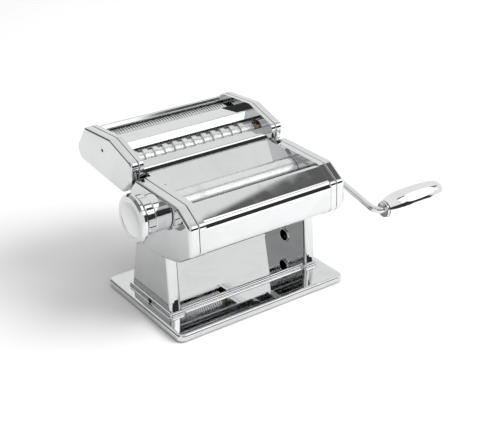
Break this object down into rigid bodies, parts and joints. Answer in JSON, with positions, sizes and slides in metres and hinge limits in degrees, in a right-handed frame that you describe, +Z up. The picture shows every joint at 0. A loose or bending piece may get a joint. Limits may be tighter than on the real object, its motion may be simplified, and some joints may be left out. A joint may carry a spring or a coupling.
{
  "type": "pasta roller machine",
  "caption": "Hand-cranked pasta roller machine on a stamped base, with smooth dough rollers, a gap-setting knob and a lift-off noodle cutting attachment.",
  "frame": {"origin": "centre of the whole machine's footprint, at the table surface under the rubber feet", "axes": "+Z up, +X towards the crank along the rollers, -Y towards the front with the smooth roller and bent front cover"},
  "size_m": [0.321, 0.2414, 0.1595],
  "materials": {
    "chrome_sheet": "mirror-polished chrome-plated steel sheet",
    "roller_metal": "anodised, fine turned",
    "chrome_bar": "chrome-plated bar",
    "knob_chrome": "polished and plated die casting",
    "grip_plating": "chrome-plated plastic",
    "cap_plastic": "glossy grey plastic",
    "zinc_steel": "zinc-plated steel",
    "bush_bronze": "sintered bronze",
    "grey_nylon": "moulded nylon",
    "foot_rubber": "moulded rubber"
  },
  "bodies": {
    "root": {"base_pan": "chrome_sheet", "clamp_socket": "zinc_steel", "rubber_feet": "foot_rubber", "base_screws": "zinc_steel", "left_leg": "chrome_sheet", "right_leg": "chrome_sheet", "left_side_frame": "chrome_sheet", "right_side_frame": "chrome_sheet", "left_side_cover": "chrome_sheet", "right_side_cover": "chrome_sheet", "tie_rods": "zinc_steel", "tie_rod_nuts": "zinc_steel", "leg_screws": "zinc_steel", "front_cover": "chrome_sheet", "hopper_plate": "chrome_sheet", "rear_cover": "chrome_sheet", "left_end_plate": "chrome_sheet", "right_end_plate": "chrome_sheet", "rear_roller_bushes": "bush_bronze", "crank_hole_ring": "grey_nylon", "block_guides": "grey_nylon", "rear_scraper": "zinc_steel", "index_collar": "knob_chrome", "knob_bush": "bush_bronze", "cutter_rails": "zinc_steel"},
    "gap_carriage": {"bearing_blocks": "grey_nylon", "front_scraper": "zinc_steel"},
    "front_roller": {"front_roller": "roller_metal", "front_roller_gear": "zinc_steel"},
    "drive_roller": {"rear_roller": "roller_metal", "rear_roller_gear": "zinc_steel", "crank_socket": "chrome_bar"},
    "crank": {"crank_arm": "chrome_bar", "crank_washer": "chrome_bar"},
    "grip": {"crank_grip": "grip_plating", "grip_end_cap": "cap_plastic"},
    "knob_shaft": {"knob_shaft": "chrome_bar"},
    "knob": {"knob_dial": "knob_chrome", "knob_face_plate": "knob_chrome", "knob_spring": "zinc_steel"},
    "cutter": {"cutter_left_frame": "chrome_sheet", "cutter_right_frame": "chrome_sheet", "cutter_left_cap": "chrome_sheet", "cutter_right_cap": "chrome_sheet", "cutter_front_cover": "chrome_sheet", "cutter_centre_cover": "chrome_sheet", "cutter_rear_cover": "chrome_sheet", "cutter_tie_rods": "zinc_steel", "cutter_bushes": "bush_bronze", "cutter_hooks": "zinc_steel", "wide_stripper_comb": "grey_nylon", "fine_stripper_comb": "grey_nylon"},
    "wide_upper": {"wide_cutter_upper_roller": "roller_metal"},
    "wide_lower": {"wide_cutter_lower_roller": "roller_metal"},
    "fine_upper": {"fine_cutter_upper_roller": "roller_metal"},
    "fine_lower": {"fine_cutter_lower_roller": "roller_metal"}
  },
  "joints": [
    {"name": "drive_spin", "type": "hinge", "parent": "root", "child": "drive_roller", "pos_m": [-0.0345, -0.00075, 0.1078], "axis": [1, 0, 0], "continuous": true},
    {"name": "gap_slide", "type": "slide", "parent": "root", "child": "gap_carriage", "axis": [0, -0.9785, 0.206], "range_m": [-0.00071, 0.00249]},
    {"name": "front_spin", "type": "hinge", "parent": "gap_carriage", "child": "front_roller", "pos_m": [-0.0345, -0.02925, 0.1138], "axis": [1, 0, 0], "continuous": true},
    {"name": "knob_turn", "type": "hinge", "parent": "root", "child": "knob_shaft", "pos_m": [-0.0345, -0.02925, 0.1138], "axis": [-1, 0, 0], "range_deg": [-252, 72]},
    {"name": "knob_pull", "type": "slide", "parent": "knob_shaft", "child": "knob", "axis": [-1, 0, 0], "range_m": [0, 0.004], "stiffness_N_per_m": 600, "springref_m": -0.004},
    {"name": "crank_pull", "type": "slide", "parent": "drive_roller", "child": "crank", "axis": [1, 0, 0], "range_m": [0, 0.016]},
    {"name": "grip_spin", "type": "hinge", "parent": "crank", "child": "grip", "pos_m": [-0.0345, -0.10735, 0.0843], "axis": [1, 0, 0], "continuous": true},
    {"name": "cutter_lift", "type": "slide", "parent": "root", "child": "cutter", "axis": [0, 0, 1], "range_m": [0, 0.025]},
    {"name": "wide_upper_spin", "type": "hinge", "parent": "cutter", "child": "wide_upper", "pos_m": [-0.0345, 0.04195, 0.1345], "axis": [1, 0, 0], "continuous": true},
    {"name": "wide_lower_spin", "type": "hinge", "parent": "cutter", "child": "wide_lower", "pos_m": [-0.0345, 0.05841, 0.125], "axis": [1, 0, 0], "continuous": true},
    {"name": "fine_upper_spin", "type": "hinge", "parent": "cutter", "child": "fine_upper", "pos_m": [-0.0345, 0.08875, 0.1393], "axis": [1, 0, 0], "continuous": true},
    {"name": "fine_lower_spin", "type": "hinge", "parent": "cutter", "child": "fine_lower", "pos_m": [-0.0345, 0.10521, 0.1298], "axis": [1, 0, 0], "continuous": true}
  ],
  "couplings": [
    {"joint": "front_spin", "follows": "drive_spin", "ratio": -1},
    {"joint": "knob_turn", "follows": "gap_slide", "rad_per_m": -1766.8},
    {"joint": "wide_lower_spin", "follows": "wide_upper_spin", "ratio": -1},
    {"joint": "fine_lower_spin", "follows": "fine_upper_spin", "ratio": -1}
  ]
}
